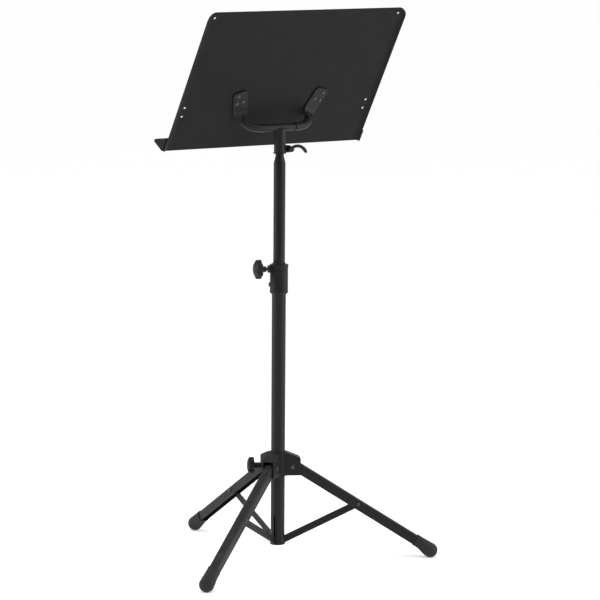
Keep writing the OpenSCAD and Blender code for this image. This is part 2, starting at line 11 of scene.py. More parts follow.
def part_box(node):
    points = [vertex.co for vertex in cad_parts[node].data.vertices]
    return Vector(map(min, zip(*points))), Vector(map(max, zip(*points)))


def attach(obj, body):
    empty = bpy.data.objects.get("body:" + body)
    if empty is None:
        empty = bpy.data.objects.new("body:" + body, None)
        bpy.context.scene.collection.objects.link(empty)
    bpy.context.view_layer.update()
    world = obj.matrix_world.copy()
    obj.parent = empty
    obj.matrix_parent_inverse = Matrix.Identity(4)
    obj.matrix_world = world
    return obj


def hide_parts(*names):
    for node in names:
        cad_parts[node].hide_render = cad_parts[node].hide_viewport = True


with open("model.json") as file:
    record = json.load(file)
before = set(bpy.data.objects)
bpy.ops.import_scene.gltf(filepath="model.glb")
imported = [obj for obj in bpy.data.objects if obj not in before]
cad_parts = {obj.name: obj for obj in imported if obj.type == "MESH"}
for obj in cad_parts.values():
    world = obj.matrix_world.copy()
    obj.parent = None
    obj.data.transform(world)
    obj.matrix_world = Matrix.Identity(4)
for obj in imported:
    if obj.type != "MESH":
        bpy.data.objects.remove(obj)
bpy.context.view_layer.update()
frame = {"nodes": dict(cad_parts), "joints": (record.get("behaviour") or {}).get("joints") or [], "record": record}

MM = 0.001
JOINTS = {joint["name"]: joint for joint in frame["joints"]}
MOUNTS = {mount["name"]: mount for mount in frame["record"]["mounts"]}


# ---------------------------------------------------------------- places taken from the frame

def turned(axis, degrees):
    return Matrix.Rotation(math.radians(degrees), 4, axis)


def azimuth(vector):
    return math.degrees(math.atan2(vector[1], vector[0]))


def radial_frame(joint):
    """Axes of a clamping screw: +Z points outward along the joint's axis, from the column's own axis."""
    z = JOINTS[joint]["pos_m"][2]
    return turned("Z", azimuth(JOINTS[joint]["axis"])) @ Matrix.Translation((0, 0, z)) @ turned("Y", 90)


LEG_SLOPE = 32.4
LEG_AZIMUTHS = [azimuth(JOINTS[name]["pos_m"]) for name in ("stay_1_fold", "stay_2_fold", "leg_fold")]
HUB_PIVOT = Vector(JOINTS["hub_pivot"]["pos_m"])
HUB_PIVOT_REACH = math.hypot(HUB_PIVOT.x, HUB_PIVOT.y)
MID_PIVOT = Vector(JOINTS["leg_3_fold"]["pos_m"])
MID_PIVOT_REACH = math.hypot(MID_PIVOT.x, MID_PIVOT.y)
TILT_Z = JOINTS["desk_tilt"]["pos_m"][2]
SHEET = 1.2 * MM
LOW_ROWS = 98.15 * MM  # from the fold up to the middle of the side holes


def leg_frame(number):
    """A leg's own axes: X runs down the leg from the hub pivot, Y across it."""
    outward = Matrix.Translation((HUB_PIVOT_REACH, 0, HUB_PIVOT.z))
    return turned("Z", LEG_AZIMUTHS[number - 1]) @ outward @ turned("Y", LEG_SLOPE)


def desk_frame():
    """The desk's own axes: X across it, Z up its slope from the fold, and its back face at Y = 0."""
    top = MOUNTS["top_holes"]
    front = Vector(top["axis"])
    up = Vector((1, 0, 0)).cross(-front)
    low = Vector(MOUNTS["left_pair"]["pos_m"])
    row_rise = (Vector(top["pos_m"]) - low).dot(up)
    origin = Vector(top["pos_m"]) - (row_rise + LOW_ROWS) * up - SHEET * front
    origin.x = 0
    axes = Matrix((Vector((1, 0, 0)), -front, up)).transposed().to_4x4()
    return Matrix.Translation(origin) @ axes


DESK = desk_frame()
TO_DESK = DESK.inverted()


# ---------------------------------------------------------------- materials

class Finish:
    """A material being made: short calls that add its nodes and return their outputs."""

    def __init__(self, name, roughness, specular=0.5, metallic=0.0):
        self.material = bpy.data.materials.new(name)
        self.material.use_nodes = True
        self.tree = self.material.node_tree
        self.shader = self.tree.nodes["Principled BSDF"]
        self.shader.inputs["Roughness"].default_value = roughness
        self.shader.inputs["Specular IOR Level"].default_value = specular
        self.shader.inputs["Metallic"].default_value = metallic
        self.place = self.add("ShaderNodeTexCoord").outputs["Object"]

    def add(self, kind, links=None, **settings):
        node = self.tree.nodes.new(kind)
        for key, value in settings.items():
            if key in node.inputs:
                node.inputs[key].default_value = value
            else:
                setattr(node, key, value)
        for key, output in (links or {}).items():
            self.tree.links.new(output, node.inputs[key])
        return node

    def noise(self, scale, detail=3.0, stretch=(1, 1, 1)):
        spread = self.add("ShaderNodeMapping", {"Vector": self.place}, Scale=stretch)
        return self.add("ShaderNodeTexNoise", {"Vector": spread.outputs[0]}, Scale=scale, Detail=detail).outputs[0]

    def span(self, value, low, high, new_low=0.0, new_high=1.0):
        """value's range low..high carried to new_low..new_high, clamped."""
        names = {"From Min": low, "From Max": high, "To Min": new_low, "To Max": new_high}
        return self.add("ShaderNodeMapRange", {"Value": value}, **names).outputs[0]

    def math(self, operation, a, b):
        links = {k: v for k, v in ((0, a), (1, b)) if not isinstance(v, float)}
        node = self.add("ShaderNodeMath", links, operation=operation)
        for k, v in ((0, a), (1, b)):
            if isinstance(v, float):
                node.inputs[k].default_value = v
        return node.outputs[0]

    def blend(self, share, first, second):
        """A colour between first and second, each a grey value, an RGB triple or an output."""
        node = self.add("ShaderNodeMix", {"Factor": share}, data_type="RGBA")
        for key, value in (("A", first), ("B", second)):
            socket = [s for s in node.inputs if s.name == key and s.type == "RGBA"][0]
            if isinstance(value, bpy.types.NodeSocket):
                self.tree.links.new(value, socket)
            else:
                socket.default_value = (*(value if isinstance(value, tuple) else (value,) * 3), 1)
        return [s for s in node.outputs if s.type == "RGBA"][0]

    def edges(self, radius, low=0.02, high=0.25):
        """1 on worn convex edges, 0 on the faces."""
        rounded = self.add("ShaderNodeBevel", samples=4, Radius=radius).outputs[0]
        flat = self.add("ShaderNodeNewGeometry").outputs["Normal"]
        both = self.add("ShaderNodeVectorMath", {0: rounded, 1: flat}, operation="DOT_PRODUCT")
        return self.span(self.math("SUBTRACT", 1.0, both.outputs["Value"]), low, high)

    def height(self):
        """The point's height above the floor with the stand at rest."""
        return self.add("ShaderNodeSeparateXYZ", {0: self.place}).outputs["Z"]

    def upward(self):
        """1 where the surface faces up with the stand at rest."""
        facing = self.add("ShaderNodeTexCoord").outputs["Normal"]
        return self.span(self.add("ShaderNodeSeparateXYZ", {0: facing}).outputs["Z"], 0.6, 0.95)

    def bump(self, height, depth, strength=1.0, below=None):
        links = {"Height": height}
        if below is not None:
            links["Normal"] = below
        return self.add("ShaderNodeBump", links, Strength=strength, Distance=depth).outputs[0]

    def finish(self, colour=None, roughness=None, normal=None):
        for key, output in (("Base Color", colour), ("Roughness", roughness), ("Normal", normal)):
            if output is not None:
                self.tree.links.new(output, self.shader.inputs[key])
        return self.material


def powder_coat(name, tone, grain, roughness, specular):
    """Baked powder paint: orange peel, a fine grain, cloudy gloss, polished edges and a little settled dust."""
    f = Finish(name, roughness, specular)
    cloud = f.noise(9.0)
    worn = f.math("MULTIPLY", f.edges(0.7 * MM), f.span(f.noise(160.0), 0.45, 0.7, 0.15, 0.8))
    dust = f.math("MULTIPLY", f.upward(), f.span(f.noise(60.0, 5.0), 0.45, 0.8, 0.0, 0.16))
    clean = f.blend(cloud, tuple(c * 0.86 for c in tone), tuple(c * 1.14 for c in tone))
    dusty = f.blend(dust, clean, (0.16, 0.155, 0.145))
    colour = f.blend(worn, dusty, tuple(c * 2.6 + 0.012 for c in tone))
    gloss = f.math("SUBTRACT", f.span(f.noise(26.0, 4.0), 0.3, 0.7, roughness - 0.05, roughness + 0.05),
                   f.math("MULTIPLY", worn, 0.1))
    peel = f.bump(f.noise(420.0, 1.0), 0.05 * MM, 0.35)
    normal = f.bump(f.noise(grain, 2.0), 0.03 * MM, 0.5, peel)
    return f.finish(colour, gloss, normal)


def moulded_plastic():
    """Glass-filled nylon from an eroded mould: fine grain, faint flow marks, rubbed high spots."""
    f = Finish("moulded_plastic", 0.5, 0.2)
    worn = f.math("MULTIPLY", f.edges(1.2 * MM, 0.04, 0.4), f.span(f.noise(210.0, 4.0), 0.4, 0.7, 0.2, 0.9))
    dust = f.math("MULTIPLY", f.upward(), f.span(f.noise(90.0, 5.0), 0.45, 0.8, 0.0, 0.14))
    flow = f.blend(f.noise(45.0, 3.0, (1, 1, 0.2)), 0.006, 0.0095)
    colour = f.blend(worn, f.blend(dust, flow, (0.15, 0.145, 0.135)), 0.06)
    gloss = f.math("SUBTRACT", f.span(f.noise(70.0), 0.3, 0.7, 0.46, 0.58), f.math("MULTIPLY", worn, 0.14))
    normal = f.bump(f.noise(1500.0, 3.0), 0.06 * MM, 0.55)
    return f.finish(colour, gloss, normal)


def rubber():
    """Matt foot rubber with mould bloom, and floor dust near the ground."""
    f = Finish("rubber", 0.72, 0.3)
    bloom = f.blend(f.noise(55.0, 5.0), 0.011, 0.021)
    low = f.span(f.height(), 0.0, 7 * MM, 1.0, 0.0)
    dusty = f.math("MULTIPLY", low, f.span(f.noise(240.0, 5.0), 0.35, 0.75, 0.05, 0.5))
    colour = f.blend(dusty, bloom, (0.13, 0.125, 0.115))
    gloss = f.span(f.noise(110.0, 4.0), 0.3, 0.7, 0.64, 0.82)
    normal = f.bump(f.noise(900.0, 4.0), 0.12 * MM, 0.6)
    return f.finish(colour, gloss, normal)


def blackened_steel():
    """Black zinc plate: dark metal with turning marks and bright worn edges."""
    f = Finish("blackened_steel", 0.36, 0.5, metallic=0.85)
    worn = f.math("MULTIPLY", f.edges(0.4 * MM), f.span(f.noise(500.0), 0.4, 0.65, 0.1, 1.0))
    stain = f.blend(f.noise(120.0, 4.0), 0.045, 0.085)
    colour = f.blend(worn, stain, (0.32, 0.31, 0.3))
    gloss = f.span(f.noise(260.0, 3.0), 0.3, 0.7, 0.28, 0.46)
    normal = f.bump(f.noise(1800.0, 2.0), 0.02 * MM, 0.5)
    return f.finish(colour, gloss, normal)


def brass():
    """Turned brass with a dull oxide in its hollows."""
    f = Finish("brass", 0.3, 0.5, metallic=1.0)
    colour = f.blend(f.span(f.noise(300.0, 5.0), 0.35, 0.7), (0.5, 0.34, 0.11), (0.72, 0.53, 0.24))
    gloss = f.span(f.noise(600.0), 0.3, 0.7, 0.22, 0.42)
    return f.finish(colour, gloss, f.bump(f.noise(2400.0, 2.0), 0.02 * MM, 0.5))


FLOOR_GLOW = 0.33


def studio_floor():
    """A white floor, lit a little from within so that it stays white to its far edge."""
    f = Finish("studio_floor", 0.9, 0.1)
    f.shader.inputs["Emission Color"].default_value = (1, 1, 1, 1)
    f.shader.inputs["Emission Strength"].default_value = FLOOR_GLOW
    return f.finish(f.blend(f.noise(1.5), 0.86, 0.88), None, f.bump(f.noise(300.0), 0.1 * MM, 0.2))


FINISHES = {
    "steel": powder_coat("powder_coat_satin", (0.0078, 0.0082, 0.0086), 1300.0, 0.43, 0.21),
    "desk_sheet": powder_coat("powder_coat_textured", (0.0074, 0.008, 0.008), 900.0, 0.5, 0.11),
    "plastic": moulded_plastic(),
    "rubber": rubber(),
    "blackened_steel": blackened_steel(),
    "brass": brass(),
}


# ---------------------------------------------------------------- mesh building

def loft(rings, cap_start=True, cap_end=True):
    """Quads between rings of equal length; a ring of one point is a pole; open ends are capped if asked."""
    points, starts = [], []
    for ring in rings:
        starts.append(len(points))
        points.extend(ring)
    faces = []
    for k in range(len(rings) - 1):
        a, b, na, nb = starts[k], starts[k + 1], len(rings[k]), len(rings[k + 1])
        for i in range(max(na, nb)):
            j = (i + 1) % max(na, nb)
            if na == 1:
                faces.append((a, b + j, b + i))
            elif nb == 1:
                faces.append((a + i, a + j, b))
            else:
                faces.append((a + i, a + j, b + j, b + i))
    if cap_start and len(rings[0]) > 1:
        faces.append(tuple(range(len(rings[0]) - 1, -1, -1)))
    if cap_end and len(rings[-1]) > 1:
        faces.append(tuple(starts[-1] + i for i in range(len(rings[-1]))))
    return points, faces


def lathe(profile, place, segments=48):
    """A turned solid about +Z of place, from (radius, height) pairs; radius 0 closes it."""
    rings = []
    for radius, height in profile:
        count = 1 if radius == 0 else segments
        angles = [2 * math.pi * k / count for k in range(count)]
        rings.append([place @ Vector((radius * math.cos(a), radius * math.sin(a), height)) for a in angles])
    return loft(rings)


def joined(parts):
    points, faces = [], []
    for more_points, more_faces in parts:
        start = len(points)
        points.extend(more_points)
        faces.extend(tuple(start + i for i in face) for face in more_faces)
    return points, faces


def piece(name, shape, body, slot, stands_for=(), crease=35):
    """A new mesh that rides on body, wears slot's finish and stands for the CAD nodes named."""
    mesh = bpy.data.meshes.new(name)
    points, faces = shape
    mesh.from_pydata([tuple(p) for p in points], [], faces)
    tidy = bmesh.new()
    tidy.from_mesh(mesh)
    bmesh.ops.remove_doubles(tidy, verts=tidy.verts, dist=0.001 * MM)
    bmesh.ops.recalc_face_normals(tidy, faces=tidy.faces)
    tidy.to_mesh(mesh)
    tidy.free()
    mesh.polygons.foreach_set("use_smooth", [True] * len(mesh.polygons))
    mesh.set_sharp_from_angle(angle=math.radians(crease))
    obj = bpy.data.objects.new(name, mesh)
    bpy.context.scene.collection.objects.link(obj)
    mesh.materials.append(FINISHES[slot])
    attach(obj, body)
    if stands_for:
        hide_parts(*stands_for)
    return obj


def mix(a, b, share):
    return a + (b - a) * share


def smooth(share):
    share = min(1.0, max(0.0, share))
    return share * share * (3 - 2 * share)


def signed_power(x, power):
    return math.copysign(abs(x) ** power, x)


# ---------------------------------------------------------------- CAD nodes that stay, with softened edges

EDGE_RADIUS = {"desk_sheet": 0.35, "hub": 0.8, "collar": 0.6, "column_foot": 0.6, "socket_tube": 0.35,
               "tee_barrel": 0.4, "lower_tube": 0.3, "upper_tube": 0.3, "clamp_bolt": 0.4}
USUAL_EDGE_RADIUS = 0.25


def dress_cad_nodes():
    slot_of = {part["node"]: part["material_slot"] for part in frame["record"]["subparts"]}
    for name, node in frame["nodes"].items():
        node.data.materials.clear()
        node.data.materials.append(FINISHES[slot_of[name]])
        for stale in ("custom_normal", "sharp_edge"):
            if stale in node.data.attributes:
                node.data.attributes.remove(node.data.attributes[stale])
        node.data.polygons.foreach_set("use_smooth", [True] * len(node.data.polygons))
        weld = node.modifiers.new("weld", "WELD")
        weld.merge_threshold = 0.002 * MM
        bevel = node.modifiers.new("edges", "BEVEL")
        bevel.width = EDGE_RADIUS.get(name, USUAL_EDGE_RADIUS) * MM
        bevel.segments = 3
        bevel.limit_method = "ANGLE"
        bevel.angle_limit = math.radians(35)
        bevel.use_clamp_overlap = True
        bevel.harden_normals = True


# ---------------------------------------------------------------- knobs and threads

def lobed_knob(name, joint, start, head_r, lobes, head_t, neck_r, neck_len, dome, body, node):
    """A star knob: straight round neck, flat back, lobed head and a domed face with a pressed-in cap."""
    place = radial_frame(joint) @ Matrix.Translation((0, 0, start * MM)) @ Matrix.Scale(MM, 4)
    hollow = 0.79
    face = neck_len + head_t
    rows = [
        (0, 0, 0), (neck_r - 0.5, 0, 0), (neck_r, 0.5, 0), (neck_r, neck_len - 0.8, 0),
        (neck_r + 0.8, neck_len, 0), (head_r * 0.62, neck_len + 0.1, 0.4), (head_r * 0.86, neck_len + 0.2, 0.85),
        (head_r - 1.0, neck_len + 0.45, 1), (head_r - 0.3, neck_len + 1.2, 1),
        (head_r, neck_len + 2.2, 1), (head_r, face - 3.2, 1), (head_r - 0.3, face - 1.9, 1),
        (head_r - 1.1, face - 0.8, 1), (head_r - 2.4, face - 0.2, 1),
        (head_r * 0.74, face + dome * 0.3, 0.7), (head_r * 0.6, face + dome * 0.62, 0.3),
        (head_r * 0.47, face + dome * 0.8, 0), (head_r * 0.43, face + dome * 0.82, 0),
        (head_r * 0.42, face + dome * 0.55, 0), (head_r * 0.4, face + dome * 0.55, 0),
        (head_r * 0.39, face + dome * 0.86, 0), (head_r * 0.34, face + dome * 0.93, 0),
        (head_r * 0.17, face + dome * 0.99, 0), (0, face + dome, 0)]
    rings = []
    for radius, height, lobed in rows:
        count = 16 * lobes if radius else 1
        ring = []
        for k in range(count):
            angle = 2 * math.pi * k / count
            wave = (0.5 + 0.5 * math.cos(lobes * angle)) ** 0.62
            reach = radius * mix(1, mix(hollow, 1, wave), lobed)
            ring.append(place @ Vector((reach * math.cos(angle), reach * math.sin(angle), height)))
        rings.append(ring)
    return piece(name, loft(rings), body, "plastic", (node,))


def thread(place, start, end, radius, pitch, segments=24, per_turn=6):
    """A screw thread about +Z of place, in millimetres, with plain closed ends."""
    depth = 0.3 * pitch
    count = round((end - start) / pitch * per_turn)
    rings = [[place @ Vector((0, 0, start))]]
    for k in range(count + 1):
        height = mix(start, end, k / count)
        ring = []
        for i in range(segments):
            phase = (height / pitch - i / segments) % 1.0
            crest = 1 - abs(2 * phase - 1)
            taper = smooth((height - start) / pitch) * smooth((end - height) / pitch)
            reach = radius - depth * (1 - min(1.0, crest * 1.25) * taper)
            angle = 2 * math.pi * i / segments
            ring.append(place @ Vector((reach * math.cos(angle), reach * math.sin(angle), height)))
        rings.append(ring)
    rings.append([place @ Vector((0, 0, end))])
    return loft(rings)


SCREW_R = 3.0
SCREW_PITCH = 1.25


def clamping_screw(name, joint, start, end, body, node):
    place = radial_frame(joint) @ Matrix.Scale(MM, 4)
    shape = thread(place, start, end, SCREW_R, SCREW_PITCH)
    return piece(name, shape, body, "blackened_steel", (node,), crease=60)


# ---------------------------------------------------------------- rivets

def riveted(name, ends, shank_r, head_r, head_h, body, node):
    """Domed rivets, each between two (outer face, outward direction) ends, in metres."""
    parts = []
    for first, second in ends:
        axis = (second - first).normalized()
        turn = axis.to_track_quat("Z", "Y").to_matrix().to_4x4()
        place = Matrix.Translation(first) @ turn @ Matrix.Scale(MM, 4)
        length = (second - first).length / MM
        dome = [(head_r * math.sin(a), head_h * math.cos(a)) for a in
                [math.radians(15 * k) for k in range(7)]]
        foot_of_head = [(head_r, -0.15), (head_r - 0.35, -0.3), (shank_r, -0.3)]
        low = [(r, -h) for r, h in dome + foot_of_head]
        high = [(r, length + h) for r, h in reversed(dome + foot_of_head)]
        parts.append(lathe(low + high, place, 32))
    return piece(name, joined(parts), body, "blackened_steel", (node,), crease=50)


PIVOT_SHANK_R = 3.0
LEG_RIVET_HALF = 10.4
LEG_RIVET_HEAD = (4.0, 3.1)  # radius, height
HUB_RIVET_HALF = 13.75
HUB_RIVET_HEAD = (4.6, 1.25)


def leg_rivets():
    for number in (1, 2, 3):
        centre = leg_frame(number).inverted() @ (turned("Z", LEG_AZIMUTHS[number - 1])
                                                 @ Vector((MID_PIVOT_REACH, 0, MID_PIVOT.z)))
        half = LEG_RIVET_HALF * MM
        ends = [leg_frame(number) @ (centre + Vector((0, side * half, 0))) for side in (-1, 1)]
        riveted(f"leg_pivot_rivet_{number}", [ends], PIVOT_SHANK_R, *LEG_RIVET_HEAD,
                f"leg_set_{number}", f"leg_rivet_{number}")


def hub_arm_rivets():
    half = HUB_RIVET_HALF * MM
    ends = []
    for angle in LEG_AZIMUTHS:
        arm = turned("Z", angle)
        ends.append([arm @ Vector((HUB_PIVOT_REACH, side * half, HUB_PIVOT.z)) for side in (-1, 1)])
    riveted("hub_arm_rivets", ends, PIVOT_SHANK_R, *HUB_RIVET_HEAD, "leg_hub", "hub_rivets")


# ---------------------------------------------------------------- yoke arms

PLATE_LEAN = 17
PLATE_START = (90, 97)
PLATE_LENGTH = 50
PLATE_HALF_W = 17
PLATE_THICK = 3
PLATE_CORNER = 8
TUBE_R = 9
RIVETS_ON_PLATE = ((9, 22), (-6, 23), (5, 41))
ARM_SEGMENTS = 48


def plate_direction():
    return Vector((math.sin(math.radians(PLATE_LEAN)), 0, math.cos(math.radians(PLATE_LEAN))))


def bezier(p, t):
    return (1 - t) ** 3 * p[0] + 3 * t * (1 - t) ** 2 * p[1] + 3 * t * t * (1 - t) * p[2] + t ** 3 * p[3]


def bezier_run(p, t):
    return 3 * (1 - t) ** 2 * (p[1] - p[0]) + 6 * t * (1 - t) * (p[2] - p[1]) + 3 * t * t * (p[3] - p[2])


def arm_section(centre, direction, half_w, half_t, power, flat):
    """One ring: a circle that turns to a flattened tube with beaded edges and a crimped middle."""
    wide = Vector((-direction.z, 0, direction.x)).normalized()
    deep = wide.cross(direction).normalized()
    crimp = 1.6 * math.sin(math.pi * min(1.0, max(0.0, flat))) ** 2
    ring = []
    for k in range(ARM_SEGMENTS):
        c, s = math.cos(2 * math.pi * k / ARM_SEGMENTS), math.sin(2 * math.pi * k / ARM_SEGMENTS)
        across = signed_power(c, power)
        out = signed_power(s, power) * half_t
        if s > 0:
            out += flat * 0.35 * smooth((abs(across) - 0.72) / 0.2) * (1 - smooth((abs(across) - 0.93) / 0.07))
            out -= crimp * max(0.0, 1 - (across / 0.55) ** 2)
        ring.append(centre + half_w * across * wide + out * deep)
    return ring


def yoke_arm(side, name, node):
    """A bent tube from the tee's end, its outer end pressed flat against the desk, in millimetres."""
    axle_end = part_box("tilt_axle")[1].x / MM
    root = TO_DESK @ Vector((0, 0, TILT_Z)) / MM
    root.x = axle_end
    run = plate_direction()
    flat_y = PLATE_THICK / 2
    plate_root = Vector((PLATE_START[0], flat_y, PLATE_START[1]))
    path = [root, root + Vector((52, 0, 0)), plate_root - 22 * run + Vector((0, 0.2, 0)), plate_root]
    rings = [[root + Vector((0.6, 0, 0))]]
    for inset, shift in ((0.35, 0.6), (0.08, 0.0), (0.0, 0.5)):
        rings.append(arm_section(root + Vector((shift, 0, 0)), Vector((1, 0, 0)),
                                 TUBE_R * (1 - inset), TUBE_R * (1 - inset), 1, 0))
    for k in range(2, 41):
        t = k / 40
        flat = smooth((t - 0.45) / 0.55)
        rings.append(arm_section(bezier(path, t), bezier_run(path, t), mix(TUBE_R, PLATE_HALF_W, flat),
                                 mix(TUBE_R, flat_y, flat), mix(1, 0.4, flat), flat))
    straight = PLATE_LENGTH - PLATE_CORNER
    stops = [straight * k / 5 for k in range(1, 6)]
    stops += [straight + PLATE_CORNER * math.sin(math.radians(15 * k)) for k in range(1, 6)]
    for stop in stops:
        left = PLATE_LENGTH - stop
        cut = 0 if left >= PLATE_CORNER else PLATE_CORNER - math.sqrt(PLATE_CORNER ** 2 - (PLATE_CORNER - left) ** 2)
        rings.append(arm_section(plate_root + stop * run, run, PLATE_HALF_W - cut, flat_y, 0.4, 1))
    rings.append([plate_root + (PLATE_LENGTH - 0.2) * run])
    mirrored = Matrix.Diagonal((side * MM, MM, MM, 1))
    placed = [[DESK @ (mirrored @ p) for p in ring] for ring in rings]
    return piece(name, loft(placed), "desk", "steel", (node,), crease=50)


def yoke_rivets():
    along = plate_direction()
    across = Vector((along.z, 0, -along.x))
    ends = []
    for side in (-1, 1):
        for shift, rise in RIVETS_ON_PLATE:
            p = Vector((PLATE_START[0], 0, PLATE_START[1])) + rise * along + shift * across
            p.x *= side
            back = DESK @ ((p + Vector((0, PLATE_THICK + 0.3, 0))) * MM)
            front = DESK @ ((p - Vector((0, SHEET / MM + 0.05, 0))) * MM)
            ends.append((back, front))
    parts = []
    for back, front in ends:
        axis = (back - front).normalized()
        place = Matrix.Translation(front) @ axis.to_track_quat("Z", "Y").to_matrix().to_4x4() @ Matrix.Scale(MM, 4)
        length = (back - front).length / MM
        outline = [(0, -0.95), (1.6, -0.9), (2.8, -0.7), (3.6, -0.35), (3.9, -0.05), (3.6, 0), (2, 0), (2, length),
                   (3.7, length), (4, length + 0.2), (3.8, length + 0.8), (3, length + 1.3), (1.6, length + 1.6),
                   (0, length + 1.65)]
        parts.append(lathe(outline, place, 32))
    piece("desk_rivets", joined(parts), "desk", "blackened_steel", ("yoke_rivets",), crease=50)


# ---------------------------------------------------------------- desk clamp

LEVER_OUTER = (Vector((-37, 867)), 26)
LEVER_INNER = (Vector((-35.5, 862.5)), 24)
LEVER_ARC = (48, 164)
LEVER_HALF_THICK = 4.4


def lever_arm():
    """The lever's arching arm: a crescent between two circles, crowned across its width."""
    centre, outer_r = LEVER_OUTER
    hollow, inner_r = LEVER_INNER
    box_low, box_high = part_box("clamp_lever")
    mid_y = (box_low.y + box_high.y) / 2 / MM
    steps, segments = 36, 28
    rings = []
    for k in range(steps + 1):
        angle = math.radians(mix(*LEVER_ARC, k / steps))
        ray = Vector((math.cos(angle), math.sin(angle)))
        gap = centre - hollow
        inner = -gap.dot(ray) + math.sqrt(gap.dot(ray) ** 2 - gap.length_squared + inner_r ** 2)
        tip = math.sqrt(max(0.02, 1 - max(0.0, (k / steps - 0.9) / 0.1) ** 2))
        middle, half = (outer_r + inner) / 2, max(1.0, (outer_r - inner) / 2) * tip
        ring = []
        for i in range(segments):
            turn = 2 * math.pi * i / segments
            reach = middle + half * signed_power(math.sin(turn), 0.7)
            side = LEVER_HALF_THICK * tip * signed_power(math.cos(turn), 0.6)
            p = centre + ray * reach
            ring.append(Vector((p.x, mid_y + side, p.y)) * MM)
        rings.append(ring)
    return loft(rings)


def clamp_lever():
    """Lever arm and boss melted into one moulding with soft corners."""
    bolt_low, bolt_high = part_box("clamp_bolt")
    box_low, box_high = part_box("clamp_lever")
    x, z = (bolt_low.x + bolt_high.x) / 2, (bolt_low.z + bolt_high.z) / 2
    place = Matrix.Translation((x, box_low.y, z)) @ turned("X", -90) @ Matrix.Scale(MM, 4)
    thick = (box_high.y - box_low.y) / MM
    boss = lathe([(0, 0.1), (5.9, 0.1), (6.4, 0.7), (6.4, thick - 1.2), (6, thick - 0.3), (5, thick - 0.1),
                  (3.9, thick - 0.1), (3.7, thick - 0.9), (0, thick - 0.9)], place)
    lever = piece("thumb_lever", joined([lever_arm(), boss]), "desk_clamp", "plastic", ("clamp_lever",))
    melt = lever.modifiers.new("melt", "REMESH")
    melt.mode = "VOXEL"
    melt.voxel_size = 0.45 * MM
    melt.use_smooth_shade = True
    soften = lever.modifiers.new("soften", "SMOOTH")
    soften.factor = 0.5
    soften.iterations = 4


# ---------------------------------------------------------------- weld at the tee

def weld_bead():
    """A rippled weld bead where the socket's saddle meets the barrel."""
    socket_r = 12.3
    barrel_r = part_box("tee_barrel")[1].y / MM
    tube_r, count, segments, ripples = 1.0, 240, 10, 70
    height = TILT_Z / MM
    socket_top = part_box("socket_tube")[1].z / MM
    line = []
    for k in range(count):
        angle = 2 * math.pi * k / count
        y = socket_r * math.sin(angle)
        drop = math.sqrt(max(0.0, (barrel_r + 0.2) ** 2 - y * y)) if abs(y) < barrel_r + 0.2 else 0.0
        line.append(Vector((socket_r * math.cos(angle), y, min(height - drop, socket_top - 0.1))))
    line = [p for p in line if abs(p.y) <= barrel_r]
    halves = [[p for p in line if p.x * side > 0] for side in (-1, 1)]
    parts = []
    for half in halves:
        half.sort(key=lambda p: p.y)
        rings = []
        for k, p in enumerate(half):
            ahead = (half[min(k + 1, len(half) - 1)] - half[max(k - 1, 0)]).normalized()
            frame_of = ahead.to_track_quat("Z", "Y").to_matrix()
            end = min(1.0, 0.3 + 0.35 * min(k, len(half) - 1 - k))
            reach = tube_r * end * (1 + 0.12 * math.cos(2 * math.pi * ripples * k / count))
            rings.append([(p + frame_of @ Vector((reach * math.cos(a), reach * math.sin(a), 0))) * MM
                          for a in [2 * math.pi * i / segments for i in range(segments)]])
        parts.append(loft(rings))
    piece("tee_weld", joined(parts), "desk_post", "steel", crease=80)


# ---------------------------------------------------------------- ribs inside the column's foot

RIB_R = 13.2
RIB_TOP = 98
STAY_CHANNEL_HALF_W = 1.9
RIB_ARC_STEPS = 16


def plug_ribs():
    """Three ribs that carry the plug up inside the tube, with an open channel for each stay between them."""
    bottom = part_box("column_foot")[1].z / MM - 0.5
    bearings = sorted(bearing % 360 for bearing in LEG_AZIMUTHS)
    clear = math.degrees(math.asin(STAY_CHANNEL_HALF_W / RIB_R))

    def at(radius, bearing, height):
        return turned("Z", bearing) @ Vector((radius, 0, height)) * MM

    parts = []
    for k, start in enumerate(bearings):
        sector = (bearings[(k + 1) % 3] - start) % 360
        inner_r = STAY_CHANNEL_HALF_W / math.sin(math.radians(sector / 2))
        parts.append(loft([
            [at(inner_r, start + sector / 2, z)]
            + [at(RIB_R, start + mix(clear, sector - clear, i / RIB_ARC_STEPS), z) for i in range(RIB_ARC_STEPS + 1)]
            for z in (bottom, RIB_TOP)]))
    piece("plug_ribs", joined(parts), "column", "plastic")


# ---------------------------------------------------------------- rubber feet

FOOT_R = 16
LEG_HALF_W = 10.1
LEG_HALF_H = 10.5
LEG_RISE = 2.2
BOOT_WALL = 2
BOOT_LENGTH = 40
BOOT_SLEEVE = 12
GROOVES = (4.5, 8.0, 11.5)


def sleeve_reach(angle, half_w, half_h):
    """How far the leg's arch-shaped outline lies from its middle in the direction angle."""
    c, s = abs(math.cos(angle)), abs(math.sin(angle))
    power = 3.2 if math.sin(angle) > 0 else 6.5
    return 1 / ((c / half_w) ** power + (s / half_h) ** power) ** (1 / power)


